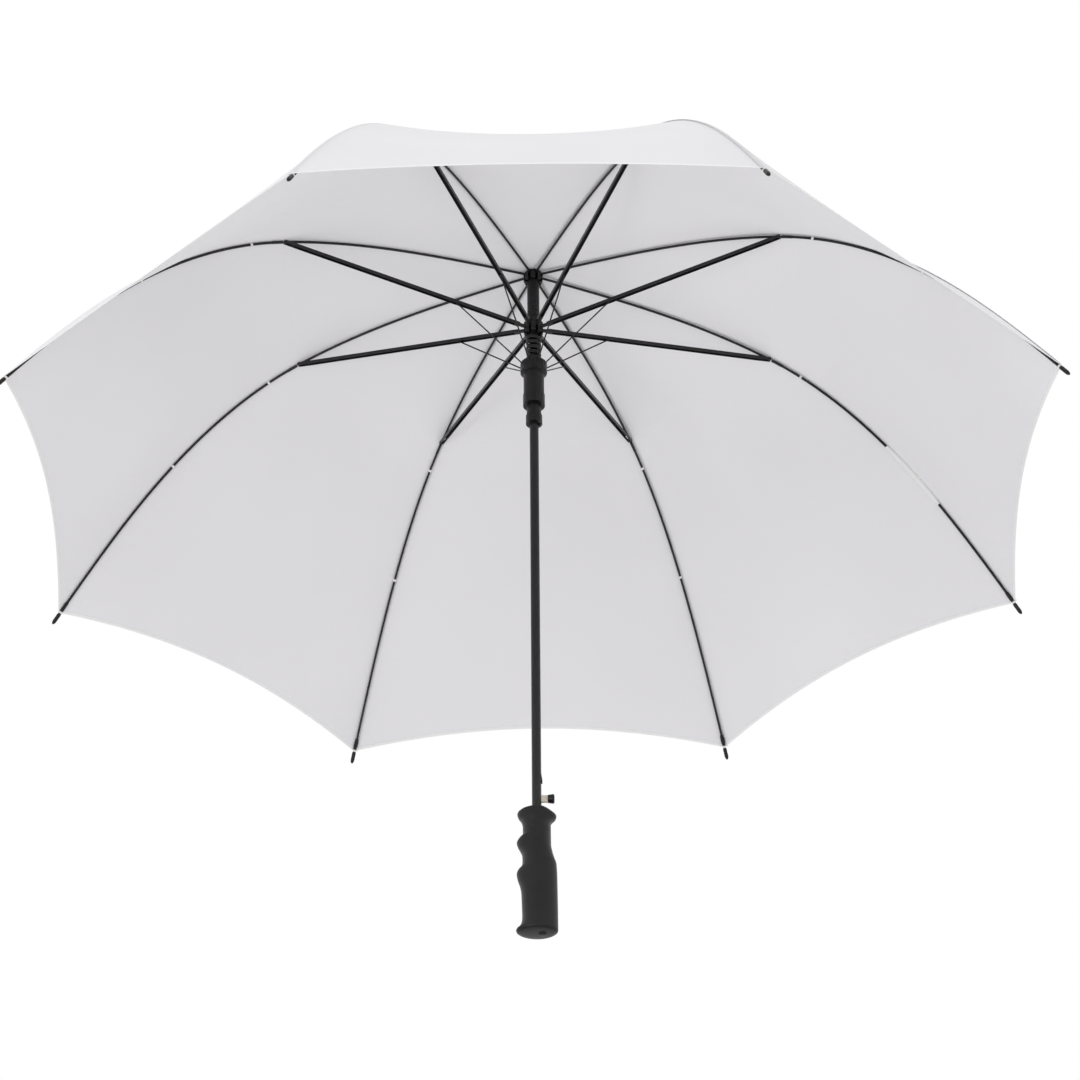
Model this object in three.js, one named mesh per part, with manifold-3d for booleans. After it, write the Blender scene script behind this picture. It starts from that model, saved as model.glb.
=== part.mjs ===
// An open golf umbrella with eight ribs. Millimetres, +Z up, the origin at the middle of the grip's end
// face, the shaft along +Z, the release button on +X and the finger grooves on -X.
import * as THREE from "three";
import { mergeVertices } from "three/addons/utils/BufferGeometryUtils.js";
import Module from "manifold-3d";

const wasm = await Module();
wasm.setup();

// --- Driving dimensions ---

const RIB_COUNT = 8;
const STEP = (2 * Math.PI) / RIB_COUNT; // angle from one rib to the next
const HALF_STEP = STEP / 2; // the first rib's azimuth, and half of a panel's angle
const GAP = 0.3; // clear space between pieces that touch

const SHAFT_R = 5;
const BORE_R = SHAFT_R + GAP; // holes that the shaft passes through
const SHAFT = { inner: 4, low: 12, top: 872 };

const CROWN_PIN = { r: 8, z: 845 }; // a rib's hinge in the crown
const HUB_PIN = { r: 8, z: 769 }; // a stretcher's hinge in the upper runner
const JOINT = { r: 299, z: 807 }; // where a stretcher meets its rib
const RUNNER_PIN = { r: 14, z: 716 }; // a wire's hinge in the lower runner's collar

const RIB = { halfWidth: 1.45, halfHeight: 1.6, eyeR: 1.7, slot: 3.5 };
const INNER_LENGTH = 294.4; // along a rib from the crown to the stretcher's joint
const OUTER_LENGTH = 414; // along a rib from the stretcher's joint to the tip
const SLOPE_CROWN = THREE.MathUtils.degToRad(2.4); // how steeply a rib points down at three places
const SLOPE_JOINT = THREE.MathUtils.degToRad(17.5);
const SLOPE_TIP = THREE.MathUtils.degToRad(54.5);
const OUTER_START = 2.7; // where the outer rib begins, past the middle of the joint
const TIP_CAP = { r: 2.4, back: 3, length: 14.5 }; // the end cap, set back over the rib's tip

const STRETCHER = { width: 4.8, depth: 4, wall: 0.7, fromHub: 9.3, fromJoint: 12 };
const TONGUE = { halfWidth: 1.2, halfHeight: 1.8, eyeR: 1.8, slot: 3 };
const CHEEK = { inner: 1.75, outer: 2.4, r: 1.7 };
const WIRE = { r: 0.75, eyeR: 1.5, at: 85, drop: 1.5 }; // pinned in the stretcher's channel

const CROWN = { r: 11, low: 836, top: 846.8 };
const HUB = { r: 10.9, low: 760.5, top: 777.5 };
const SLEEVE = { r: 7.1, grooveR: 6.5, low: 777.8, top: 835.7 };
const SPRING = { top: 760, bottom: 700.6, topR: 7.6, bottomR: 6.9, wireR: 1.4, turns: 7.5 };
const RUNNER = { ring: 635, neck: 646, band: 660, body: 675, collar: 706, top: 719, floor: 699.5 };
const RUNNER_R = { ring: 9.2, neck: 8.2, band: 12.3, body: 11.6, collar: 15.1, cup: 12.2, neckBore: 7.1 };
const CATCH = { low: 174, high: 186, reach: 6.2, halfWidth: 1.7 };
const STEM = { halfWidth: 1.6, halfHeight: 4 }; // the flat strip that carries the button's cap
const BUTTON = { z: 155, capIn: 11.6, capOut: 18.6, capInR: 4.3, capR: 5.1 };

const PANEL = { thickness: 1.2, lift: 2.2, seam: 0.35, hem: 4 }; // lift: from a rib's middle line
const APEX = { start: 1.8, lift: 1.2, reach: 40 }; // how the crown lifts the panels' inner ends
const SAG = { inner: 4, outer: 17 }; // how far a panel sinks between two ribs
const SCALLOP = 26; // how far the hem's middle is cut back from the line between two tips

const TOP_CAP = { r: 14, low: 850.2, rim: 851.4, top: 855.5 };
const FERRULE = { baseR: 7.4, neckR: 6, tipR: 3.4, low: 855.9, collar: 866, top: 921 };

const GRIP_TOP = 141.6;
const GRIP_DEPTH = 15.8; // half of the grip's size across the finger grooves
const GRIP_BACK = [[0, 20.4], [2.5, 21.8], [12, 16.2], [30, 15.8], [52, 17.6], [67, 21.1], [75, 16.4], [85, 15.1],
  [103, 20.9], [111, 15.3], [120, 14.6], [137, 20.3], [GRIP_TOP, 13]]; // [height, reach] on -X
const GRIP_FRONT = [[0, 19.6], [2.5, 21], [61, 20.7], [78, 20], [91, 16.4], [102, 14.5], [124, 14.5],
  [133, 20.4], [136, 19.6], [GRIP_TOP, 11]]; // the same on +X
const PLUG = { r: 9, height: 7 };

// --- Materials ---

const material = (color, roughness, metalness) =>
  new THREE.MeshStandardMaterial({ color, roughness, metalness });
const paintedSteel = () => material(0x2b2b2d, 0.38, 0.5);
const springSteel = () => material(0x1d1d1f, 0.32, 0.8);
const blackPlastic = () => material(0x161617, 0.42, 0);
const gripPlastic = () => material(0x303031, 0.5, 0);
const whiteFabric = () => material(0xeeeef0, 0.85, 0);

// --- Helpers ---

const umbrella = new THREE.Group();

function place(name, geometry, look, parent = umbrella) {
  const mesh = new THREE.Mesh(geometry, look);
  mesh.name = name;
  parent.add(mesh);
}

// A group in which +X points away from the shaft at an azimuth, and +Y runs round it.
function turned(azimuth) {
  const group = new THREE.Group();
  group.rotation.z = azimuth;
  umbrella.add(group);
  return group;
}

function solid(geometry) {
  const bare = geometry.index ? geometry.toNonIndexed() : geometry.clone();
  bare.deleteAttribute("normal");
  bare.deleteAttribute("uv");
  const merged = mergeVertices(bare, 1e-4);
  return new wasm.Manifold(
    new wasm.Mesh({
      numProp: 3,
      vertProperties: merged.attributes.position.array,
      triVerts: new Uint32Array(merged.index.array),
    }),
  );
}

function geometryOf(manifold) {
  const mesh = manifold.getMesh();
  const geometry = new THREE.BufferGeometry();
  geometry.setAttribute("position", new THREE.BufferAttribute(mesh.vertProperties, 3));
  geometry.setIndex(new THREE.BufferAttribute(mesh.triVerts, 1));
  return geometry;
}

function join(...geometries) {
  return geometryOf(geometries.map(solid).reduce((whole, piece) => whole.add(piece)));
}

function cut(geometry, ...tools) {
  return geometryOf(tools.map(solid).reduce((whole, tool) => whole.subtract(tool), solid(geometry)));
}

// A solid of revolution about Z. Its [radius, height] points run anticlockwise and close on themselves.
function lathe(points, segments = 24) {
  const outline = [...points, points[0]].map(([r, z]) => new THREE.Vector2(r, z));
  return new THREE.LatheGeometry(outline, segments).rotateX(Math.PI / 2);
}

const tube = (inner, outer, low, high, segments) =>
  lathe([[inner, low], [outer, low], [outer, high], [inner, high]], segments);

// A box between two corners.
function box(low, high) {
  const size = high.map((value, axis) => value - low[axis]);
  return new THREE.BoxGeometry(...size).translate(...low.map((value, axis) => value + size[axis] / 2));
}

// A plate in the X-Z plane, from an outline of [x, z] points, between two values of Y.
function plate(outline, yLow, yHigh) {
  const shape = new THREE.Shape(outline.map(([x, z]) => new THREE.Vector2(x, z)));
  const depth = yHigh - yLow;
  return new THREE.ExtrudeGeometry(shape, { depth, bevelEnabled: false })
    .rotateX(Math.PI / 2)
    .translate(0, yHigh, 0);
}

// A pin or eye along Y, centred on [x, z].
const pin = (x, z, r, yLow, yHigh) =>
  new THREE.CylinderGeometry(r, r, yHigh - yLow, 10).translate(x, (yLow + yHigh) / 2, z);

// A closed surface through rings of points of equal count, with a fan over each end.
function loft(rings) {
  const count = rings[0].length;
  const middle = (ring) =>
    ring.reduce((sum, point) => sum.add(point), new THREE.Vector3()).divideScalar(count);
  const points = [...rings.flat(), middle(rings[0]), middle(rings.at(-1))];
  const faces = [];
  for (let i = 0; i < rings.length - 1; i++) {
    for (let j = 0; j < count; j++) {
      const a = i * count + j;
      const b = i * count + ((j + 1) % count);
      faces.push(a, b, b + count, a, b + count, a + count);
    }
  }
  const last = (rings.length - 1) * count;
  for (let j = 0; j < count; j++) {
    const next = (j + 1) % count;
    faces.push(rings.length * count, next, j);
    faces.push(rings.length * count + 1, last + j, last + next);
  }
  return new THREE.BufferGeometry().setFromPoints(points).setIndex(faces);
}

// An eight-sided bar that follows points [x, z] with slopes, where slope is the angle below +X.
function bar(stations, halfWidth, halfHeight) {
  const corner = 0.45;
  const section = [[1, -corner], [1, corner], [corner, 1], [-corner, 1], [-1, corner], [-1, -corner],
    [-corner, -1], [corner, -1]];
  return loft(stations.map(({ x, z, slope }) => section.map(([side, up]) => new THREE.Vector3(
    x + up * halfHeight * Math.sin(slope),
    side * halfWidth,
    z + up * halfHeight * Math.cos(slope),
  ))));
}

// --- The curve of a rib ---

// Points [x, z] and slopes along a rib, from a start, where slopeAt gives the slope at a share of the length.
function curve(start, length, slopeAt, steps = 400) {
  const points = [{ x: start.r, z: start.z, slope: slopeAt(0) }];
  for (let i = 0; i < steps; i++) {
    const slope = slopeAt((i + 0.5) / steps);
    const { x, z } = points[i];
    const step = length / steps;
    points.push({ x: x + step * Math.cos(slope), z: z - step * Math.sin(slope), slope: slopeAt((i + 1) / steps) });
  }
  return (distance) => {
    const t = THREE.MathUtils.clamp(distance / length, 0, 1) * steps;
    const i = Math.min(Math.floor(t), steps - 1);
    const mix = (key) => THREE.MathUtils.lerp(points[i][key], points[i + 1][key], t - i);
    const beyond = distance - THREE.MathUtils.clamp(distance, 0, length);
    const slope = mix("slope");
    return { x: mix("x") + beyond * Math.cos(slope), z: mix("z") - beyond * Math.sin(slope), slope };
  };
}

const innerCurve = curve(CROWN_PIN, INNER_LENGTH, (t) => SLOPE_CROWN + (SLOPE_JOINT - SLOPE_CROWN) * t * t);
const outerCurve = curve(JOINT, OUTER_LENGTH, (t) =>
  SLOPE_JOINT + (SLOPE_TIP - SLOPE_JOINT) * (1 - (1 - t) * (1 - t)));

const shares = (count) => Array.from({ length: count + 1 }, (_, i) => i / count);

// Even distances along a length, with the first and the last drawn in. Bars and panels share them.
const distances = (length, count, first, last) =>
  shares(count).map((share) => THREE.MathUtils.clamp(share * length, first, length - last));
const INNER_ROWS = 6;
const OUTER_ROWS = 8;
const HEM_AT = OUTER_LENGTH - PANEL.hem; // where the panel's corner is, along the outer rib

// --- The shaft and what is fixed to it ---

place("shaft", cut(
  tube(SHAFT.inner, SHAFT_R, SHAFT.low, SHAFT.top),
  box([2, -STEM.halfWidth - GAP, BUTTON.z - STEM.halfHeight - GAP],
    [6, STEM.halfWidth + GAP, BUTTON.z + STEM.halfHeight + GAP]),
  box([2, -CATCH.halfWidth - GAP, CATCH.low - GAP], [6, CATCH.halfWidth + GAP, CATCH.high + GAP]),
), paintedSteel());

// The slots of the crown and of the upper runner, in which the ribs' and stretchers' eyes turn.
const slots = (r, width, low, high) =>
  Array.from({ length: RIB_COUNT }, (_, k) =>
    box([r, -width / 2, low - 1], [20, width / 2, high + 1]).rotateZ(HALF_STEP + k * STEP));

place("crown", cut(
  lathe([[BORE_R, CROWN.low], [CROWN.r - 1, CROWN.low], [CROWN.r, CROWN.low + 1], [CROWN.r, CROWN.top - 1],
    [CROWN.r - 1, CROWN.top], [BORE_R, CROWN.top]]),
  ...slots(CROWN_PIN.r - RIB.eyeR - GAP, RIB.slot, CROWN.low, CROWN.top),
), blackPlastic());

const GROOVES = [783, 789, 795, 801]; // the grooves round the stop sleeve
place("stop_sleeve", lathe([
  [BORE_R, SLEEVE.low],
  [SLEEVE.r, SLEEVE.low],
  ...GROOVES.flatMap((z) => [[SLEEVE.r, z], [SLEEVE.grooveR, z + 1.2], [SLEEVE.r, z + 2.4]]),
  [SLEEVE.r, SLEEVE.top],
  [BORE_R, SLEEVE.top],
], 14), blackPlastic());

place("top_cap", lathe([[BORE_R, TOP_CAP.low], [TOP_CAP.r, TOP_CAP.low], [TOP_CAP.r, TOP_CAP.rim],
  [TOP_CAP.r - 4, TOP_CAP.top - 1.4], [BORE_R + 2, TOP_CAP.top], [BORE_R, TOP_CAP.top]]), blackPlastic());

place("ferrule", lathe([
  [0, SHAFT.top + GAP],
  [BORE_R, SHAFT.top + GAP],
  [BORE_R, FERRULE.low],
  [FERRULE.baseR, FERRULE.low],
  [FERRULE.baseR, FERRULE.collar - 1],
  [FERRULE.neckR, FERRULE.collar],
  [FERRULE.neckR - 0.8, FERRULE.collar + 20],
  [FERRULE.tipR + 0.6, FERRULE.top - 8],
  [FERRULE.tipR, FERRULE.top - 2],
  [FERRULE.tipR - 1.6, FERRULE.top],
  [0, FERRULE.top],
], 20), blackPlastic());

// --- The grip ---

// The smooth value at a height, through [height, value] points.
function reachAt(points, height) {
  const i = Math.max(0, points.findIndex(([z]) => z >= height) - 1);
  const [z0, v0] = points[i];
  const [z1, v1] = points[i + 1];
  return THREE.MathUtils.lerp(v0, v1, THREE.MathUtils.smoothstep(height, z0, z1));
}

const gripHeights = [...new Set([...GRIP_BACK, ...GRIP_FRONT].map(([z]) => z))].sort((a, b) => a - b);
const GRIP_SEGMENTS = 20;
const gripRings = gripHeights.map((z) => Array.from({ length: GRIP_SEGMENTS }, (_, j) => {
  const angle = (j / GRIP_SEGMENTS) * 2 * Math.PI;
  const back = reachAt(GRIP_BACK, z);
  const front = reachAt(GRIP_FRONT, z);
  const reach = Math.cos(angle) < 0 ? back : front;
  const depth = Math.min(GRIP_DEPTH, (back + front) / 2);
  return new THREE.Vector3(reach * Math.cos(angle), depth * Math.sin(angle), z);
}));
place("grip", cut(
  loft(gripRings),
  tube(0, BORE_R, SHAFT.low - GAP, GRIP_TOP + 1),
  tube(0, PLUG.r + GAP, -1, PLUG.height + GAP),
), gripPlastic());

place("grip_end_plug", lathe([[0, 0], [PLUG.r - 0.8, 0], [PLUG.r, 0.8], [PLUG.r, PLUG.height], [0, PLUG.height]]),
  blackPlastic());

// --- The latch and its button ---

place("latch_catch", plate([
  [-1, CATCH.low],
  [CATCH.reach, CATCH.low],
  [CATCH.reach, CATCH.low + 2],
  [SHAFT_R - 0.2, CATCH.high],
  [-1, CATCH.high],
], -CATCH.halfWidth, CATCH.halfWidth), paintedSteel());

place("button", join(
  lathe([
    [0, BUTTON.capIn],
    [BUTTON.capInR, BUTTON.capIn],
    [BUTTON.capR, BUTTON.capOut - 1.6],
    [BUTTON.capR - 0.5, BUTTON.capOut - 0.5],
    [0, BUTTON.capOut],
  ], 20).rotateY(Math.PI / 2).translate(0, 0, BUTTON.z),
  box([SHAFT.inner, -STEM.halfWidth, BUTTON.z - STEM.halfHeight],
    [BUTTON.capIn + 1, STEM.halfWidth, BUTTON.z + STEM.halfHeight]),
), blackPlastic());

// --- The upper runner, the spring and the lower runner ---

place("upper_runner", cut(
  lathe([[BORE_R, HUB.low], [HUB.r - 1, HUB.low], [HUB.r, HUB.low + 1], [HUB.r, HUB.top - 1],
    [HUB.r - 1, HUB.top], [BORE_R, HUB.top]]),
  ...slots(HUB_PIN.r - TONGUE.eyeR - GAP, TONGUE.slot, HUB.low, HUB.top),
), blackPlastic());

class SpringPath extends THREE.Curve {
  getPoint(t, target = new THREE.Vector3()) {
    const angle = t * SPRING.turns * 2 * Math.PI;
    const r = THREE.MathUtils.lerp(SPRING.topR, SPRING.bottomR, t);
    const z = THREE.MathUtils.lerp(SPRING.top - SPRING.wireR, SPRING.bottom + SPRING.wireR, t);
    return target.set(r * Math.cos(angle), r * Math.sin(angle), z);
  }
}
const wireSection = new THREE.Shape(Array.from({ length: 5 }, (_, i) => {
  const angle = (i / 5) * 2 * Math.PI;
  return new THREE.Vector2(SPRING.wireR * Math.cos(angle), SPRING.wireR * Math.sin(angle));
}));
place("spring", geometryOf(solid(new THREE.ExtrudeGeometry(wireSection, {
  steps: 64,
  extrudePath: new SpringPath(),
}))), springSteel());

const catchHalf = CATCH.halfWidth + 0.6; // half of the width of the groove that lets the catch pass
place("lower_runner", cut(
  lathe([
    [BORE_R, RUNNER.ring],
    [RUNNER_R.ring, RUNNER.ring],
    [RUNNER_R.ring, RUNNER.neck],
    [RUNNER_R.neck, RUNNER.neck],
    [RUNNER_R.neck, RUNNER.band],
    [RUNNER_R.band, RUNNER.band],
    [RUNNER_R.band, RUNNER.body],
    [RUNNER_R.body, RUNNER.body],
    [RUNNER_R.body, RUNNER.collar - 1.5],
    [RUNNER_R.collar, RUNNER.collar],
    [RUNNER_R.collar, RUNNER.top - 0.8],
    [RUNNER_R.collar - 0.8, RUNNER.top],
    [RUNNER_R.cup, RUNNER.top],
    [RUNNER_R.cup - 2, RUNNER.floor],
    [BORE_R, RUNNER.floor],
    [BORE_R, RUNNER.band],
    [RUNNER_R.neckBore, RUNNER.band - 1],
    [RUNNER_R.neckBore, RUNNER.neck],
    [BORE_R, RUNNER.neck],
  ]),
  box([4, -catchHalf, RUNNER.ring - 1], [CATCH.reach + 0.4, catchHalf, RUNNER.neck]),
  ...Array.from({ length: RIB_COUNT }, (_, k) =>
    box([RUNNER_R.cup - 2, -WIRE.r - GAP, RUNNER_PIN.z - WIRE.eyeR - GAP], [20, WIRE.r + GAP, RUNNER.top + 1])
      .rotateZ(HALF_STEP + k * STEP)),
), blackPlastic());

// --- The ribs, the stretchers and the wires ---

const arm = { x: JOINT.r - HUB_PIN.r, z: JOINT.z - HUB_PIN.z }; // from a stretcher's hub end to its joint
const ARM_LENGTH = Math.hypot(arm.x, arm.z);
const ARM_SLOPE = Math.atan2(-arm.z, arm.x); // the angle below +X, here negative

// A point of the stretcher's own line: a distance from the hub's pin, and a height above the line.
const onArm = (distance, up = 0) => ({
  x: HUB_PIN.r + distance * Math.cos(ARM_SLOPE) + up * Math.sin(ARM_SLOPE),
  z: HUB_PIN.z - distance * Math.sin(ARM_SLOPE) + up * Math.cos(ARM_SLOPE),
});
const armPlate = (outline, yLow, yHigh) =>
  plate(outline.map(([distance, up]) => onArm(distance, up)).map(({ x, z }) => [x, z]), yLow, yHigh);

const innerRib = join(
  bar(distances(INNER_LENGTH, INNER_ROWS, 0.6, 0.6).map(innerCurve), RIB.halfWidth, RIB.halfHeight),
  pin(CROWN_PIN.r, CROWN_PIN.z, RIB.eyeR, -RIB.halfWidth, RIB.halfWidth),
  pin(JOINT.r, JOINT.z, RIB.eyeR, -RIB.halfWidth, RIB.halfWidth),
);

const tipEnd = outerCurve(OUTER_LENGTH - TIP_CAP.back);
const tipCap = lathe([[0, 0], [TIP_CAP.r, 0], [TIP_CAP.r, TIP_CAP.length - 1.4], [TIP_CAP.r - 1.3, TIP_CAP.length],
  [0, TIP_CAP.length]], 12)
  .rotateY(Math.PI / 2 + SLOPE_TIP)
  .translate(tipEnd.x, 0, tipEnd.z);
const outerRib = join(
  bar([...distances(HEM_AT, OUTER_ROWS, OUTER_START, 0), OUTER_LENGTH].map(outerCurve), RIB.halfWidth, RIB.halfHeight),
  tipCap,
);

const channelTop = STRETCHER.depth / 2;
const channelHalf = STRETCHER.width / 2;
const channelEnds = [STRETCHER.fromHub, ARM_LENGTH - STRETCHER.fromJoint];
const channelSide = (low, high) =>
  [[channelEnds[0], low], [channelEnds[1], low], [channelEnds[1], high], [channelEnds[0], high]];
const cheek = (yLow, yHigh) => {
  const end = onArm(ARM_LENGTH);
  return join(
    armPlate([[ARM_LENGTH - STRETCHER.fromJoint - 4, -channelTop], [ARM_LENGTH, -CHEEK.r], [ARM_LENGTH, CHEEK.r],
      [ARM_LENGTH - STRETCHER.fromJoint - 4, channelTop]], yLow, yHigh),
    pin(end.x, end.z, CHEEK.r, yLow, yHigh),
  );
};
const wirePin = onArm(WIRE.at, -WIRE.drop);
const stretcher = join(
  armPlate(channelSide(channelTop - STRETCHER.wall, channelTop), -channelHalf, channelHalf),
  armPlate(channelSide(-channelTop, channelTop), -channelHalf, -channelHalf + STRETCHER.wall),
  armPlate(channelSide(-channelTop, channelTop), channelHalf - STRETCHER.wall, channelHalf),
  armPlate([[0, -TONGUE.halfHeight], [STRETCHER.fromHub + 6, -TONGUE.halfHeight],
    [STRETCHER.fromHub + 6, TONGUE.halfHeight], [0, TONGUE.halfHeight]], -TONGUE.halfWidth, TONGUE.halfWidth),
  pin(HUB_PIN.r, HUB_PIN.z, TONGUE.eyeR, -TONGUE.halfWidth, TONGUE.halfWidth),
  cheek(-CHEEK.outer, -CHEEK.inner),
  cheek(CHEEK.inner, CHEEK.outer),
);

const wireSlope = Math.atan2(RUNNER_PIN.z - wirePin.z, wirePin.x - RUNNER_PIN.r);
const wireEnd = (point) => ({ ...point, slope: wireSlope });
const wire = join(
  bar([wireEnd({ x: RUNNER_PIN.r, z: RUNNER_PIN.z }), wireEnd(wirePin)], WIRE.r, WIRE.r),
  pin(RUNNER_PIN.r, RUNNER_PIN.z, WIRE.eyeR, -WIRE.r, WIRE.r),
  pin(wirePin.x, wirePin.z, WIRE.eyeR, -WIRE.r, WIRE.r),
);

for (let k = 0; k < RIB_COUNT; k++) {
  const spoke = turned(HALF_STEP + k * STEP);
  place(`rib_inner_${k + 1}`, innerRib, paintedSteel(), spoke);
  place(`rib_outer_${k + 1}`, outerRib, paintedSteel(), spoke);
  place(`stretcher_${k + 1}`, stretcher, paintedSteel(), spoke);
  place(`wire_${k + 1}`, wire, springSteel(), spoke);
}

// --- The canopy ---

// A point of a panel, at a distance along the ribs, a share across from -1 to 1, and a height in the cloth.
function panelPoint({ x, z, slope }, lift, sag, across, height) {
  const edge = { x: x + (lift + height) * Math.sin(slope), z: z + (lift + height) * Math.cos(slope) };
  const mid = edge.x * Math.cos(HALF_STEP);
  const halfWidth = edge.x * Math.sin(HALF_STEP) - PANEL.seam;
  const sink = sag * (1 - across * across);
  return new THREE.Vector3(mid - sink * Math.sin(slope), across * halfWidth, edge.z - sink * Math.cos(slope));
}

// A closed sheet from rows of points on its underside and on its top, all rows of equal length.
function sheet(under, over) {
  const rings = under.map((row, i) => [...over[i]].reverse().concat(row));
  return loftStrip(rings);
}

// A closed surface through flat rings, each end closed by its own strip of faces.
function loftStrip(rings) {
  const count = rings[0].length;
  const faces = [];
  for (let i = 0; i < rings.length - 1; i++) {
    for (let j = 0; j < count; j++) {
      const a = i * count + j;
      const b = i * count + ((j + 1) % count);
      faces.push(a, b, b + count, a, b + count, a + count);
    }
  }
  const last = (rings.length - 1) * count;
  for (let j = 0; j < count / 2 - 1; j++) {
    const k = count - 1 - j;
    faces.push(j, k, j + 1, j + 1, k, k - 1);
    faces.push(last + j, last + j + 1, last + k, last + j + 1, last + k - 1, last + k);
  }
  return new THREE.BufferGeometry().setFromPoints(rings.flat()).setIndex(faces);
}

function panel(rows, columns, distanceAt, liftAt, sagAt, pathAt) {
  const surface = (height) => shares(rows).map((u) => shares(columns).map((c) => {
    const across = 2 * c - 1;
    const distance = distanceAt(u, across);
    return panelPoint(pathAt(distance), liftAt(distance), sagAt(distance), across, height);
  }));
  return sheet(surface(0), surface(PANEL.thickness));
}

const innerPanel = panel(
  INNER_ROWS, 4,
  (u) => THREE.MathUtils.clamp(u * INNER_LENGTH, APEX.start, INNER_LENGTH - PANEL.seam / 2),
  (distance) => PANEL.lift + APEX.lift * Math.max(0, 1 - distance / APEX.reach) ** 2,
  (distance) => SAG.inner * Math.sin(Math.PI * distance / INNER_LENGTH) ** 2,
  innerCurve,
);
const outerPanel = panel(
  OUTER_ROWS, 6,
  (u, across) => Math.max(PANEL.seam / 2, u * (HEM_AT - SCALLOP * (1 - across * across))),
  () => PANEL.lift,
  (distance) => SAG.outer * Math.sin(Math.PI * (distance / OUTER_LENGTH) ** 0.8) ** 2,
  outerCurve,
);

for (let k = 0; k < RIB_COUNT; k++) {
  const gore = turned(k * STEP);
  place(`canopy_inner_${k + 1}`, innerPanel, whiteFabric(), gore);
  place(`canopy_outer_${k + 1}`, outerPanel, whiteFabric(), gore);
}

export default umbrella;
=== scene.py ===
# The looks of an open golf umbrella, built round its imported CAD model. Lengths in the driving dimensions
# are millimetres in the CAD's own frame: +Z up the shaft, +X towards the button, -X the finger grooves.
import math

import bpy
from mathutils import Matrix, Quaternion, Vector


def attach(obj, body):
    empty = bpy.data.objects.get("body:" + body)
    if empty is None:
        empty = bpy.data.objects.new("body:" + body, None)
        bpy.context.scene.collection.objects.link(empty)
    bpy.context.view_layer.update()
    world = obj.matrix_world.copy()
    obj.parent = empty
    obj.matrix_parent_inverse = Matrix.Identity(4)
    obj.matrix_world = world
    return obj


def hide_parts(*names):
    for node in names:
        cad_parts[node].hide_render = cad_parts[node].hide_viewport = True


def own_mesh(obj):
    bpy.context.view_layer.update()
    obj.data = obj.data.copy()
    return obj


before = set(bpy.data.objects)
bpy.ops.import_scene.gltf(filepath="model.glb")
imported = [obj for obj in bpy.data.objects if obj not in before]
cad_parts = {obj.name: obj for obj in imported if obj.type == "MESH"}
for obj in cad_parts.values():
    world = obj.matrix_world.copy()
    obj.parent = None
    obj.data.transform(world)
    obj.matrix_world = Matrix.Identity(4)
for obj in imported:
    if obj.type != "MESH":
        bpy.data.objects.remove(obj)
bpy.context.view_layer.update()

MM = 0.001
RIB_COUNT = 8
STEP = 2 * math.pi / RIB_COUNT
HALF_STEP = STEP / 2  # the first rib's azimuth, and half of a panel's angle

CROWN_PIN = (8.0, 845.0)  # radius and height
JOINT = (299.0, 807.0)
INNER_LENGTH = 294.4
OUTER_LENGTH = 414.0
SLOPE_CROWN = math.radians(2.4)
SLOPE_JOINT = math.radians(17.5)
SLOPE_TIP = math.radians(54.5)

LIFT = 2.4  # from a rib's middle line to the cloth
APEX = {"start": 1.8, "lift": 1.2, "reach": 40.0}
SAG = {"inner": 4.0, "outer": 17.0}
SCALLOP = 26.0
HEM_AT = OUTER_LENGTH - 4.0  # along the outer rib, to the panel's corner

# --- Materials ---


def socket(shader, name, value):
    """Sets a shader's input."""
    shader.inputs[name].default_value = value


def mapped(nodes, links, source, low, high):
    """A node output from 0 to 1, spread between two values."""
    node = nodes.new("ShaderNodeMapRange")
    node.inputs["To Min"].default_value = low
    node.inputs["To Max"].default_value = high
    links.new(source, node.inputs["Value"])
    return node.outputs["Result"]


def noise(nodes, links, coordinate, scale, detail=4.0, stretch=(1.0, 1.0, 1.0)):
    """A noise texture's value over a coordinate that may be stretched."""
    mapping = nodes.new("ShaderNodeMapping")
    mapping.inputs["Scale"].default_value = stretch
    links.new(coordinate, mapping.inputs["Vector"])
    texture = nodes.new("ShaderNodeTexNoise")
    texture.inputs["Scale"].default_value = scale
    texture.inputs["Detail"].default_value = detail
    links.new(mapping.outputs["Vector"], texture.inputs["Vector"])
    return texture.outputs["Fac"]


def tinted(nodes, links, fac, dark, light):
    """A colour between two, by a node output."""
    ramp = nodes.new("ShaderNodeValToRGB")
    ramp.color_ramp.elements[0].position = 0.3
    ramp.color_ramp.elements[0].color = (*dark, 1)
    ramp.color_ramp.elements[1].position = 0.7
    ramp.color_ramp.elements[1].color = (*light, 1)
    links.new(fac, ramp.inputs["Fac"])
    return ramp.outputs["Color"]


def bumped(nodes, links, shader, height, strength, distance):
    """Adds a bump from a node output to a shader, over any bump already there."""
    bump = nodes.new("ShaderNodeBump")
    bump.inputs["Strength"].default_value = strength
    bump.inputs["Distance"].default_value = distance
    links.new(height, bump.inputs["Height"])
    before = shader.inputs["Normal"].links
    if before:
        links.new(before[0].from_socket, bump.inputs["Normal"])
    links.new(bump.outputs["Normal"], shader.inputs["Normal"])


def blank(name):
    """A new node material with its node tree, links and shader."""
    made = bpy.data.materials.new(name)
    made.use_nodes = True
    tree = made.node_tree
    return made, tree.nodes, tree.links, tree.nodes["Principled BSDF"]


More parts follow.
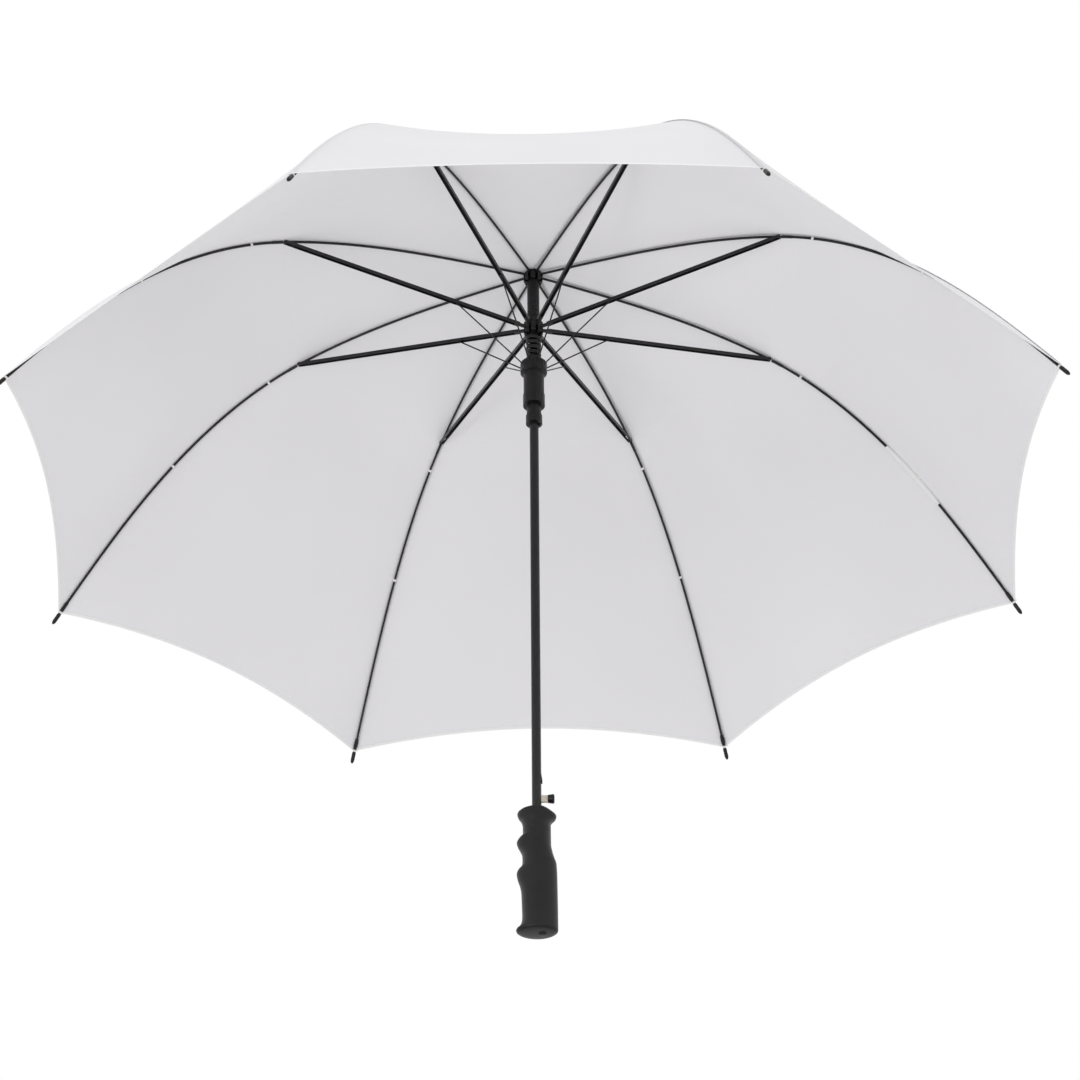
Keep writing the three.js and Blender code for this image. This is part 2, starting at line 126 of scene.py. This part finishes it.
def hard(name, dark, light, roughness, metallic=0.0, coat=0.0, grain=900.0, grain_depth=0.00006,
         wear=14.0, shine=0.5):
    """Painted metal, bare metal or moulded plastic: patchy wear, fine grain and uneven roughness."""
    made, nodes, links, shader = blank(name)
    place = nodes.new("ShaderNodeTexCoord").outputs["Object"]
    patches = noise(nodes, links, place, wear)
    fine = noise(nodes, links, place, grain, 2.0)
    links.new(tinted(nodes, links, patches, dark, light), shader.inputs["Base Color"])
    links.new(mapped(nodes, links, patches, roughness * 0.8, roughness * 1.25), shader.inputs["Roughness"])
    bumped(nodes, links, shader, fine, 0.35, grain_depth)
    socket(shader, "Metallic", metallic)
    socket(shader, "Coat Weight", coat)
    socket(shader, "Coat Roughness", 0.2)
    socket(shader, "IOR", 1.5)
    socket(shader, "Specular IOR Level", shine)
    return made


def cloth(name, dark, light, weave=0.0011, see_through=0.2):
    """Plain-woven polyester: a fine weave, puckers beside the seams, soft creases and a little glow."""
    made, nodes, links, shader = blank(name)
    layers = {}
    for layer in ("weave", "seam"):
        node = nodes.new("ShaderNodeUVMap")
        node.uv_map = layer
        layers[layer] = node.outputs["UV"]
    place = nodes.new("ShaderNodeTexCoord").outputs["Object"]
    threads = []
    for direction in ("X", "Y"):
        wave = nodes.new("ShaderNodeTexWave")
        wave.wave_type = "BANDS"
        wave.bands_direction = direction
        wave.inputs["Scale"].default_value = 0.32 / weave
        wave.inputs["Distortion"].default_value = 0.6
        links.new(layers["weave"], wave.inputs["Vector"])
        threads.append(wave.outputs["Fac"])
    crossed = nodes.new("ShaderNodeMath")
    crossed.operation = "MAXIMUM"
    links.new(threads[0], crossed.inputs[0])
    links.new(threads[1], crossed.inputs[1])
    # Puckers run across the seam and die out away from it.
    split = nodes.new("ShaderNodeSeparateXYZ")
    links.new(layers["seam"], split.inputs[0])
    fade = nodes.new("ShaderNodeMapRange")
    fade.inputs["From Min"].default_value = 0.0
    fade.inputs["From Max"].default_value = 0.035
    fade.inputs["To Min"].default_value = 1.0
    fade.inputs["To Max"].default_value = 0.0
    links.new(split.outputs["X"], fade.inputs["Value"])
    pucker = noise(nodes, links, layers["seam"], 1.0, 2.0, (14.0, 90.0, 1.0))
    puckered = nodes.new("ShaderNodeMath")
    puckered.operation = "MULTIPLY"
    links.new(fade.outputs["Result"], puckered.inputs[0])
    links.new(pucker, puckered.inputs[1])
    soft = noise(nodes, links, place, 7.0, 3.0)
    blotch = noise(nodes, links, place, 3.0, 2.0)
    links.new(tinted(nodes, links, blotch, dark, light), shader.inputs["Base Color"])
    links.new(mapped(nodes, links, soft, 0.62, 0.82), shader.inputs["Roughness"])
    bumped(nodes, links, shader, crossed.outputs["Value"], 0.3, 0.0001)
    bumped(nodes, links, shader, puckered.outputs["Value"], 0.5, 0.0012)
    bumped(nodes, links, shader, soft, 0.35, 0.004)
    socket(shader, "Sheen Weight", 0.25)
    socket(shader, "Sheen Roughness", 0.4)
    socket(shader, "Specular IOR Level", 0.35)
    glow = nodes.new("ShaderNodeBsdfTranslucent")
    glow.inputs["Color"].default_value = (*light, 1)
    mix = nodes.new("ShaderNodeMixShader")
    mix.inputs["Fac"].default_value = see_through
    links.new(shader.outputs["BSDF"], mix.inputs[1])
    links.new(glow.outputs["BSDF"], mix.inputs[2])
    links.new(mix.outputs["Shader"], nodes["Material Output"].inputs["Surface"])
    return made


PAINTED = hard("painted_steel", (0.009, 0.009, 0.0095), (0.015, 0.015, 0.016), 0.3, 0.05, 0.05,
               grain=500.0, grain_depth=0.00002, shine=0.3)
SPRING_STEEL = hard("spring_steel", (0.008, 0.008, 0.009), (0.016, 0.016, 0.017), 0.3, 0.15,
                    grain=700.0, grain_depth=0.00002, shine=0.35)
BLACK = hard("black_plastic", (0.004, 0.004, 0.0044), (0.008, 0.008, 0.0088), 0.34, 0.0, 0.03, shine=0.28)
GRIP = hard("grip_plastic", (0.006, 0.006, 0.0063), (0.010, 0.010, 0.0105), 0.4, 0.0, 0.03,
            grain=1500.0, grain_depth=0.00012, wear=30.0, shine=0.26)
STEM = hard("cream_plastic", (0.5, 0.45, 0.36), (0.6, 0.55, 0.46), 0.45,
            grain=1200.0, grain_depth=0.00005, wear=60.0)
FABRIC = cloth("white_fabric", (0.745, 0.735, 0.752), (0.8, 0.79, 0.808))
TAPE = cloth("white_tape", (0.84, 0.84, 0.84), (0.9, 0.9, 0.9), weave=0.0008, see_through=0.05)
THREAD = hard("white_thread", (0.72, 0.71, 0.69), (0.82, 0.81, 0.79), 0.75,
              grain=2500.0, grain_depth=0.0002, wear=90.0)
FLOOR = hard("floor", (0.8, 0.8, 0.8), (0.84, 0.84, 0.84), 0.85,
             grain=40.0, grain_depth=0.0002, wear=0.6)

# The looks of the CAD nodes by the first word of their names; every other node is black plastic.
CAD_LOOK = {
    "shaft": PAINTED,
    "latch": PAINTED,
    "spring": SPRING_STEEL,
    "wire": SPRING_STEEL,
    "grip": GRIP,
    "canopy": FABRIC,
    "rib": PAINTED,
    "stretcher": PAINTED,
}
for node_name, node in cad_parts.items():
    look = CAD_LOOK.get(node_name.split("_")[0], BLACK)
    for index in range(len(node.material_slots)):
        node.material_slots[index].material = look

# --- Building pieces ---


def turned(azimuth, x, y, z):
    """A point of a frame turned to an azimuth, in metres of the object's frame."""
    return Vector((
        (x * math.cos(azimuth) - y * math.sin(azimuth)) * MM,
        (x * math.sin(azimuth) + y * math.cos(azimuth)) * MM,
        z * MM,
    ))


def piece(name, vertices, faces, look, body, slot, smooth_angle=None, uv=None):
    """A named mesh that rides on a body. uv maps a layer's name to one (u, v) for each vertex."""
    mesh = bpy.data.meshes.new(name)
    mesh.from_pydata(vertices, [], faces)
    mesh.materials.append(look)
    for layer, values in (uv or {}).items():
        data = mesh.uv_layers.new(name=layer).data
        for loop in mesh.loops:
            data[loop.index].uv = values[loop.vertex_index]
    mesh.shade_smooth()
    if smooth_angle is not None:
        mesh.set_sharp_from_angle(angle=math.radians(smooth_angle))
    made = bpy.data.objects.new(name, mesh)
    bpy.context.scene.collection.objects.link(made)
    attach(made, body)
    return made


def swept(stations, section, closed=False):
    """Vertices and faces of a section swept along stations of (point, side, up), with flat ends."""
    count = len(section)
    vertices = [point + side * a + up * b for point, side, up in stations for a, b in section]
    faces = []
    last = len(stations) if closed else len(stations) - 1
    for i in range(last):
        ahead = (i + 1) % len(stations)
        for j in range(count):
            turn = (j + 1) % count
            faces.append((i * count + j, i * count + turn, ahead * count + turn, ahead * count + j))
    if not closed:
        faces.append(tuple(reversed(range(count))))
        faces.append(tuple((len(stations) - 1) * count + j for j in range(count)))
    return vertices, faces


def merged(*solids):
    """One list of vertices and faces from several."""
    vertices = []
    faces = []
    for more_vertices, more_faces in solids:
        start = len(vertices)
        vertices += more_vertices
        faces += [tuple(index + start for index in face) for face in more_faces]
    return vertices, faces


def ellipse(half_width, half_height, count=16):
    """The points of an ellipse, in metres."""
    angles = [2 * math.pi * i / count for i in range(count)]
    return [(half_width * MM * math.cos(angle), half_height * MM * math.sin(angle)) for angle in angles]


def spun(profile, place, segments=64):
    """A solid of revolution from [radius, height] points that close on themselves, placed by a matrix."""
    vertices = []
    faces = []
    count = len(profile)
    for i in range(segments):
        angle = 2 * math.pi * i / segments
        for r, z in profile:
            vertices.append(place @ Vector((r * MM * math.cos(angle), r * MM * math.sin(angle), z * MM)))
    for i in range(segments):
        ahead = (i + 1) % segments
        for j in range(count):
            turn = (j + 1) % count
            faces.append((i * count + j, ahead * count + j, ahead * count + turn, i * count + turn))
    return vertices, faces


# --- The ribs' curve and the panels' surface ---


def rib_curve(start, length, slope_at, steps=400):
    """A function from a distance along a rib to its (radius, height, slope below level)."""
    points = [(*start, slope_at(0))]
    for i in range(steps):
        slope = slope_at((i + 0.5) / steps)
        r, z, _ = points[-1]
        step = length / steps
        points.append((r + step * math.cos(slope), z - step * math.sin(slope), slope_at((i + 1) / steps)))

    def at(distance):
        inside = min(max(distance, 0.0), length)
        place = inside / length * steps
        i = min(int(place), steps - 1)
        r, z, slope = (a + (b - a) * (place - i) for a, b in zip(points[i], points[i + 1]))
        beyond = distance - inside
        return r + beyond * math.cos(slope), z - beyond * math.sin(slope), slope

    return at


inner_rib = rib_curve(CROWN_PIN, INNER_LENGTH, lambda t: SLOPE_CROWN + (SLOPE_JOINT - SLOPE_CROWN) * t * t)
outer_rib = rib_curve(JOINT, OUTER_LENGTH,
                      lambda t: SLOPE_JOINT + (SLOPE_TIP - SLOPE_JOINT) * (1 - (1 - t) ** 2))
RIB_OF = {"inner": inner_rib, "outer": outer_rib}


def panel_point(part, gore, distance, across, height=0.0):
    """A point of a panel: how far along the ribs, how far across from -1 to 1, how high over the cloth."""
    r, z, slope = RIB_OF[part](distance)
    lift = LIFT + height
    if part == "inner":
        lift += APEX["lift"] * max(0.0, 1 - distance / APEX["reach"]) ** 2
        sag = SAG["inner"] * math.sin(math.pi * distance / INNER_LENGTH) ** 2
    else:
        sag = SAG["outer"] * math.sin(math.pi * (max(distance, 0) / OUTER_LENGTH) ** 0.8) ** 2
    x = r + lift * math.sin(slope)
    sink = sag * (1 - across * across)
    return turned(
        gore * STEP,
        x * math.cos(HALF_STEP) - sink * math.sin(slope),
        across * x * math.sin(HALF_STEP),
        z + lift * math.cos(slope) - sink * math.cos(slope),
    )


def hem_distance(across):
    """How far out the hem is."""
    return HEM_AT - SCALLOP * (1 - across * across)


def tangential(azimuth):
    """The direction round the shaft at an azimuth."""
    return Vector((-math.sin(azimuth), math.cos(azimuth), 0.0))


def fold_with(made):
    """Gives a piece of a panel a mesh of its own."""
    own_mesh(made)


def panel_mesh(part, gore, rows, columns):
    """A panel's vertices, faces and cloth coordinates."""
    vertices = []
    weave = []
    seam = []
    for i in range(rows + 1):
        for j in range(columns + 1):
            across = 2 * j / columns - 1
            if part == "inner":
                distance = max(i / rows * INNER_LENGTH, APEX["start"])
            else:
                distance = i / rows * hem_distance(across)
            vertices.append(panel_point(part, gore, distance, across))
            r = RIB_OF[part](distance)[0]
            half_width = r * math.sin(HALF_STEP) * MM
            along = (distance + (0 if part == "inner" else INNER_LENGTH)) * MM
            weave.append((across * half_width, along))
            seam.append(((1 - abs(across)) * half_width, along + gore * 0.7 + (0.3 if across > 0 else 0)))
    faces = []
    for i in range(rows):
        for j in range(columns):
            a = i * (columns + 1) + j
            faces.append((a, a + columns + 1, a + columns + 2, a + 1))
    return vertices, faces, {"weave": weave, "seam": seam}


GRID = {"inner": (22, 20), "outer": (34, 24)}


def band(part, gore, path, half_width, thickness, look, name, height=0.0):
    """A flat tape on the cloth, along (distance, across) points."""
    points = [panel_point(part, gore, distance, across, height) for distance, across in path]
    raised = [panel_point(part, gore, distance, across, height + 1.0) for distance, across in path]
    stations = []
    for i, point in enumerate(points):
        ahead = points[min(i + 1, len(points) - 1)] - points[max(i - 1, 0)]
        up = (raised[i] - point).normalized()
        side = up.cross(ahead).normalized()
        stations.append((point, side, up))
    w = half_width * MM
    t = thickness * MM / 2
    flat = w * 0.7  # the part of the tape that isn't bevelled
    edge = t * 0.4
    section = [(-w, -edge), (-flat, -t), (flat, -t), (w, -edge), (w, edge), (flat, t), (-flat, t), (-w, edge)]
    vertices, faces = swept(stations, section)
    count = len(section)
    uv = [((index % count) * w / 4, index // count * 0.004) for index in range(len(vertices))]
    return piece(name, vertices, faces, look, f"canopy_{part}_{gore + 1}", "white_fabric", 40,
                 {"weave": uv, "seam": [(0.1, v) for _, v in uv]})


SEAM = {"half_width": 2.2, "thickness": 0.5, "height": 0.35, "inset": 2.4}
HEM = {"half_width": 1.7, "thickness": 0.9, "inset": 1.6, "reach": 0.998}
SEAM_LINE = {
    "inner": [6 + i * (INNER_LENGTH - 6) / 24 for i in range(25)],
    "outer": [i * HEM_AT / 36 for i in range(37)],
}
for gore in range(RIB_COUNT):
    for part in ("inner", "outer"):
        vertices, faces, uv = panel_mesh(part, gore, *GRID[part])
        panel = piece(f"cloth_{part}_{gore + 1}", vertices, faces, FABRIC, f"canopy_{part}_{gore + 1}",
                      "white_fabric", uv=uv)
        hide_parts(f"canopy_{part}_{gore + 1}")
        fold_with(panel)
        sewn = []
        # The felled seam lies over the rib, on the panel's outer side.
        path = []
        for distance in SEAM_LINE[part]:
            half_panel = max(3.0, RIB_OF[part](distance)[0] * math.sin(HALF_STEP))
            path.append((distance, 1 - SEAM["inset"] / half_panel))
        sewn.append(band(part, gore, path, SEAM["half_width"], SEAM["thickness"], FABRIC,
                         f"seam_{part}_{gore + 1}", SEAM["height"]))
        if part == "outer":
            shares = [2 * j / 40 - 1 for j in range(41)]
            path = [(hem_distance(across) - HEM["inset"], across * HEM["reach"]) for across in shares]
            sewn.append(band(part, gore, path, HEM["half_width"], HEM["thickness"], TAPE, f"hem_{gore + 1}"))
        for made in sewn:
            fold_with(made)

# --- The ribs, their tips and the ties ---


def rib_stations(curve, azimuth, low, high, count):
    """Stations along a rib, whose up is square to it, away from the shaft."""
    stations = []
    for i in range(count + 1):
        r, z, slope = curve(low + (high - low) * i / count)
        point = turned(azimuth, r, 0, z)
        up = (turned(azimuth, math.sin(slope), 0, math.cos(slope)) / MM).normalized()
        stations.append((point, tangential(azimuth), up))
    return stations


def rounded_bar(curve, azimuth, low, high, section_at, count=8):
    """A bar along a rib whose half-width and half-height change with the share of its length."""
    stations = rib_stations(curve, azimuth, low, high, count)
    vertices = []
    faces = []
    ring = 16
    for i, (point, side, up) in enumerate(stations):
        half_width, half_height = section_at(i / count)
        vertices += [point + side * a + up * b for a, b in ellipse(half_width, half_height, ring)]
    for i in range(count):
        for j in range(ring):
            turn = (j + 1) % ring
            faces.append((i * ring + j, i * ring + turn, (i + 1) * ring + turn, (i + 1) * ring + j))
    faces.append(tuple(reversed(range(ring))))
    faces.append(tuple(count * ring + j for j in range(ring)))
    return vertices, faces


def eye(azimuth, r, z, radius, half_width):
    """A round eye or rivet, its axis running round the shaft."""
    place = Matrix.Translation(turned(azimuth, r, 0, z))
    place = place @ Quaternion((0, 0, 1), azimuth).to_matrix().to_4x4()
    place = place @ Quaternion((1, 0, 0), math.pi / 2).to_matrix().to_4x4()
    edge = min(0.35, radius * 0.3)
    profile = [(0.001, -half_width), (radius - edge, -half_width), (radius, -half_width + edge),
               (radius, half_width - edge), (radius - edge, half_width), (0.001, half_width)]
    return spun(profile, place, 24)


COVER = {"rib": 0, "low": 172.0, "high": 264.0, "fold": 226.0}  # a cloth cover over one outer rib
ROD = (1.3, 1.6)  # half of a rib's width and height
EYE = (1.7, 1.3)  # radius and half of the width of the eye at a rib's end
OUTER_START = 2.7  # from the knee to the outer rib's steel
TIE_AT = (42.0, 192.0)  # where the cloth is tied to each outer rib
STITCH_AT = (OUTER_LENGTH - 5.2, OUTER_LENGTH - 4.0)  # where the hem's corner is stitched to the tip
# Half of a tip's width and height, from its mouth to its end.
TIP_CAP = [(2.0, 2.0), (2.35, 2.35), (2.35, 2.35), (2.25, 2.25), (2.35, 2.35), (2.35, 2.35),
           (2.3, 2.3), (1.9, 1.9), (0.9, 0.9)]


def cover_size(share):
    """Half of the cover's width and height: it narrows to the rib at both ends."""
    swell = math.sin(math.pi * share) ** 0.45
    return 1.7 + 2.3 * swell, 2.1 + 1.1 * swell


def pocket_size(share):
    """Half of the width and height of the socket that a rib's tip sits in."""
    return 1.5 + 1.0 * math.sin(math.pi * share) ** 0.5, 1.7


def wraps(azimuth, places, half_length, half_width, half_height, count):
    """Short wrappings of thread round an outer rib."""
    return merged(*[
        rounded_bar(outer_rib, azimuth, at - half_length, at + half_length,
                    lambda share: (half_width, half_height), count)
        for at in places
    ])


for k in range(RIB_COUNT):
    azimuth = HALF_STEP + k * STEP
    inner_body = f"rib_inner_{k + 1}"
    outer_body = f"rib_outer_{k + 1}"
    inner = merged(
        swept(rib_stations(inner_rib, azimuth, 0.5, INNER_LENGTH - 0.5, 40), ellipse(*ROD)),
        eye(azimuth, *CROWN_PIN, *EYE),
        eye(azimuth, *JOINT, *EYE),
    )
    rod = piece(f"rib_rod_inner_{k + 1}", *inner, PAINTED, inner_body, "painted_steel", 50)
    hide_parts(inner_body)
    outer = merged(
        swept(rib_stations(outer_rib, azimuth, OUTER_START, OUTER_LENGTH - 2, 60), ellipse(*ROD)),
        rounded_bar(outer_rib, azimuth, OUTER_START, 16, lambda share: (1.55, 1.85)),
    )
    rod = piece(f"rib_rod_outer_{k + 1}", *outer, PAINTED, outer_body, "painted_steel", 50)
    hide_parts(outer_body)
    tip = merged(
        rounded_bar(outer_rib, azimuth, OUTER_LENGTH - 3, OUTER_LENGTH + 11.5,
                    lambda share: TIP_CAP[round(share * 8)], 8),
        rounded_bar(outer_rib, azimuth, OUTER_LENGTH - 20, OUTER_LENGTH - 6, pocket_size, 12),
    )
    piece(f"rib_tip_{k + 1}", *tip, BLACK, outer_body, "black_plastic", 40)
    stitches = wraps(azimuth, STITCH_AT, 0.55, 2.1, 2.35, 2)
    piece(f"tip_thread_{k + 1}", *stitches, THREAD, outer_body, "white_fabric", 50)
    ties = wraps(azimuth, TIE_AT, 1.4, 1.9, 2.25, 3)
    piece(f"rib_tie_{k + 1}", *ties, THREAD, outer_body, "white_fabric", 50)

covered = HALF_STEP + COVER["rib"] * STEP
cover = merged(
    rounded_bar(outer_rib, covered, COVER["low"], COVER["high"], cover_size, 40),
    rounded_bar(outer_rib, covered, COVER["fold"] - 1.5, COVER["fold"] + 1.5, lambda share: (6.0, 3.4), 4),
)
cover_uv = [(point.x * 3, point.z * 3) for point in cover[0]]
piece("rib_cover", *cover, TAPE, f"rib_outer_{COVER['rib'] + 1}", "white_fabric", 50,
      {"weave": cover_uv, "seam": [(0.1, v) for _, v in cover_uv]})

# --- The grip ---

GRIP_TOP = 141.6
GRIP_DEPTH = 15.8
PLUG_HOLE = {"r": 9.3, "top": 7.3}  # the room for the end plug
# The finger grooves' side and the button's side, as [height, reach]: a groove is steep under its knuckle.
GRIP_BACK = [
    (0, 20.2), (0.8, 21.4), (2.5, 21.9), (6, 18.3), (12, 16.1), (18, 15.6), (30, 15.9), (44, 16.4),
    (52, 17.6), (60, 20), (66.5, 21.1), (70, 20.2), (73, 17.5), (76, 15.6), (82, 15.1), (88, 15.4),
    (94, 17.5), (99, 20), (103, 20.9), (107.5, 18.6), (110.5, 15.5), (114, 14.6), (121, 14.6), (128, 16),
    (133.5, 19.5), (137, 20.3), (139.5, 17.5), (GRIP_TOP, 13),
]
GRIP_FRONT = [
    (0, 19.4), (0.8, 20.6), (2.5, 21.1), (61, 20.7), (78, 20), (84, 18.2), (91, 16.2), (101, 14.6),
    (124, 14.5), (128, 16.2), (132, 20), (134, 20.4), (136.5, 18), (GRIP_TOP, 11),
]
LIP = 2.5  # how high the rounded lower lip goes
LIP_HEIGHTS = [0, 0.3, 0.8, 1.6, LIP]
NECK = {"r": 5.2, "rise": 0.8}  # where the grip closes on the shaft


def eased(points, at):
    """A smooth line through points that never overshoots them, read at a place."""
    for (low, start), (high, end) in zip(points, points[1:]):
        if at <= high:
            break
    share = (at - low) / (high - low)
    slopes = []
    for edge in (low, high):
        i = [place for place, _ in points].index(edge)
        before = points[i][1] - points[i - 1][1] if i else 0
        after = points[i + 1][1] - points[i][1] if i < len(points) - 1 else 0
        if before * after <= 0:
            slopes.append(0)
            continue
        before /= points[i][0] - points[i - 1][0]
        after /= points[i + 1][0] - points[i][0]
        slopes.append(2 * before * after / (before + after) * (high - low))
    square = share * share
    cube = square * share
    return (start * (2 * cube - 3 * square + 1) + slopes[0] * (cube - 2 * square + share)
            + end * (3 * square - 2 * cube) + slopes[1] * (cube - square))


def grip_ring(back, front, depth, z, count=72):
    """A ring of the grip, whose two sides reach out by different amounts."""
    ring = []
    for i in range(count):
        angle = 2 * math.pi * i / count
        reach = front if math.cos(angle) > 0 else back
        ring.append(Vector((reach * math.cos(angle), depth * math.sin(angle), z)) * MM)
    return ring


def lofted(rings):
    """A closed solid through rings of the same count."""
    count = len(rings[0])
    faces = []
    for i in range(len(rings) - 1):
        for j in range(count):
            turn = (j + 1) % count
            faces.append((i * count + j, i * count + turn, (i + 1) * count + turn, (i + 1) * count + j))
    faces.append(tuple(reversed(range(count))))
    faces.append(tuple((len(rings) - 1) * count + j for j in range(count)))
    return [point for ring in rings for point in ring], faces


def round_ring(r, z):
    """A round ring about the shaft."""
    return grip_ring(r, r, r, z)


grip_heights = LIP_HEIGHTS + [LIP + i * (GRIP_TOP - LIP) / 110 for i in range(1, 111)]
grip_rings = [round_ring(PLUG_HOLE["r"], z) for z in (PLUG_HOLE["top"], 0.5, 0)]
for z in grip_heights:
    back = eased(GRIP_BACK, z)
    front = eased(GRIP_FRONT, z)
    depth = min(GRIP_DEPTH, (back + front) / 2) - 0.5 * max(0, 1.6 - z)
    grip_rings.append(grip_ring(back, front, depth, z))
grip_rings.append(round_ring(NECK["r"], GRIP_TOP + NECK["rise"]))
grip = piece("grip_body", *lofted(grip_rings), GRIP, "frame", "grip_plastic", 50)
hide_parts("grip")

# The end plug is a low dome over the grip's end, with a small nub beside its middle.
PLUG = {"r": 9.0, "top": 5.0, "low": 0.1}
DOME_REACH = (20.2, 19.4, 15.0)  # back, front and depth at the dome's rim
END_DOME = [(0.9, 0.1), (0.97, -0.25), (0.93, -0.7), (0.8, -1.2), (0.6, -1.6), (0.35, -1.85), (0.1, -1.95)]
NUB = {"x": 5.0, "r": 4.2, "low": -3.3}
dome_rings = [round_ring(PLUG["r"], PLUG["top"]), round_ring(PLUG["r"], PLUG["low"])]
dome_rings += [grip_ring(*[reach * share for reach in DOME_REACH], z) for share, z in END_DOME]
nub_profile = [
    (0.001, -1.0),
    (NUB["r"], -1.0),
    (NUB["r"], -2.2),
    (NUB["r"] - 0.5, NUB["low"] + 0.3),
    (NUB["r"] - 1.2, NUB["low"]),
    (0.001, NUB["low"]),
]
nub = spun(nub_profile, Matrix.Translation((NUB["x"] * MM, 0, 0)), 32)
end_plug = piece("grip_end_dome", *merged(lofted(dome_rings), nub), BLACK, "frame", "grip_plastic", 50)
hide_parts("grip_end_plug")

# --- The button: a black cap on a flat cream stem ---

BUTTON = {"z": 155.0, "cap_in": 11.6, "cap_out": 18.6, "cap_in_r": 4.3, "cap_r": 5.1}
STEM_SIZE = {"near": 4.3, "far": 12.2, "half_width": 1.6, "half_height": 4.0, "bevel": 0.4}
sideways = Matrix.Translation((0, 0, BUTTON["z"] * MM)) @ Matrix.Rotation(math.pi / 2, 4, "Y")
cap = spun([
    (0.001, BUTTON["cap_in"]),
    (BUTTON["cap_in_r"] - 0.3, BUTTON["cap_in"]),
    (BUTTON["cap_in_r"], BUTTON["cap_in"] + 0.3),
    (BUTTON["cap_r"] - 0.1, BUTTON["cap_out"] - 2.4),
    (BUTTON["cap_r"], BUTTON["cap_out"] - 1.6),
    (BUTTON["cap_r"] - 0.2, BUTTON["cap_out"] - 0.7),
    (BUTTON["cap_r"] - 0.9, BUTTON["cap_out"] - 0.15),
    (BUTTON["cap_r"] - 1.9, BUTTON["cap_out"]),
    (0.001, BUTTON["cap_out"]),
], sideways, 48)
button_cap = piece("button_cap", *cap, BLACK, "button", "black_plastic", 50)
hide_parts("button")
wide = STEM_SIZE["half_width"]
tall = STEM_SIZE["half_height"]
bevel = STEM_SIZE["bevel"]
stem_stations = [
    (Vector((x, 0, BUTTON["z"])) * MM, Vector((0, 1, 0)), Vector((0, 0, 1)))
    for x in (STEM_SIZE["near"], STEM_SIZE["far"])
]
stem_section = [
    (-wide, -tall + bevel), (-wide + bevel, -tall), (wide - bevel, -tall), (wide, -tall + bevel),
    (wide, tall - bevel), (wide - bevel, tall), (-wide + bevel, tall), (-wide, tall - bevel),
]
stem = swept(stem_stations, [(a * MM, b * MM) for a, b in stem_section])
piece("button_stem", *stem, STEM, "button", "black_plastic", 30)

# --- The spring ---

SPRING = {"top": 760.0, "bottom": 700.6, "top_r": 7.6, "bottom_r": 6.9, "wire": 1.4, "band": 4.8, "turns": 8}
COIL_STEPS = 28
steps = SPRING["turns"] * COIL_STEPS
spring_stations = []
for i in range(steps + 1):
    t = i / steps
    angle = t * SPRING["turns"] * 2 * math.pi
    r = SPRING["top_r"] + (SPRING["bottom_r"] - SPRING["top_r"]) * t
    z = SPRING["top"] - SPRING["wire"] - t * (SPRING["top"] - SPRING["bottom"] - 2 * SPRING["wire"])
    spring_stations.append((turned(angle, r, 0, z), turned(angle, 1, 0, 0) / MM, Vector((0, 0, 1))))
coil = swept(spring_stations, ellipse(SPRING["wire"], SPRING["band"] / 2, 16))
spring = piece("coil_spring", *coil, SPRING_STEEL, "upper_runner", "spring_steel")
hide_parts("spring")
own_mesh(spring)

# --- Stage ---

FLOOR_HALF = 9.0
FLOOR_Z = -2.6
floor_corners = [(x * FLOOR_HALF, y * FLOOR_HALF, FLOOR_Z) for x, y in ((-1, -1), (1, -1), (1, 1), (-1, 1))]
floor_mesh = bpy.data.meshes.new("floor")
floor_mesh.from_pydata(floor_corners, [], [(0, 1, 2, 3)])
floor_mesh.materials.append(FLOOR)
floor = bpy.data.objects.new("floor", floor_mesh)
bpy.context.scene.collection.objects.link(floor)

world = bpy.data.worlds.new("studio")
bpy.context.scene.world = world
world.use_nodes = True
world.node_tree.nodes["Background"].inputs["Color"].default_value = (1.0, 1.0, 1.0, 1)
world.node_tree.nodes["Background"].inputs["Strength"].default_value = 1.0


def area_light(name, location, target, size, power):
    """A square light that faces a point."""
    data = bpy.data.lights.new(name, "AREA")
    data.energy = power
    data.size = size
    made = bpy.data.objects.new(name, data)
    made.location = location
    made.rotation_euler = (Vector(target) - Vector(location)).to_track_quat("-Z", "Y").to_euler()
    bpy.context.scene.collection.objects.link(made)


area_light("key", (-1.6, -2.0, 3.0), (0, 0, 0.7), 2.0, 10)
area_light("strip", (-1.1, -1.7, -0.5), (0, 0, 0.1), 0.45, 6)

CAMERA_AT = Vector((0.021, -3.103, -1.596))
ELEVATION = math.radians(33.772)
PAN = math.radians(-0.285)
ROLL = math.radians(-0.45)
camera_data = bpy.data.cameras.new("camera")
camera_data.lens = 113.87
camera_data.sensor_width = 36
camera = bpy.data.objects.new("camera", camera_data)
look_along = Vector((
    math.sin(PAN) * math.cos(ELEVATION),
    math.cos(PAN) * math.cos(ELEVATION),
    math.sin(ELEVATION),
))
camera.location = CAMERA_AT
camera.rotation_mode = "QUATERNION"
camera.rotation_quaternion = look_along.to_track_quat("-Z", "Y") @ Quaternion((0, 0, 1), ROLL)
bpy.context.scene.collection.objects.link(camera)
bpy.context.scene.camera = camera
bpy.context.scene.view_settings.view_transform = "Standard"
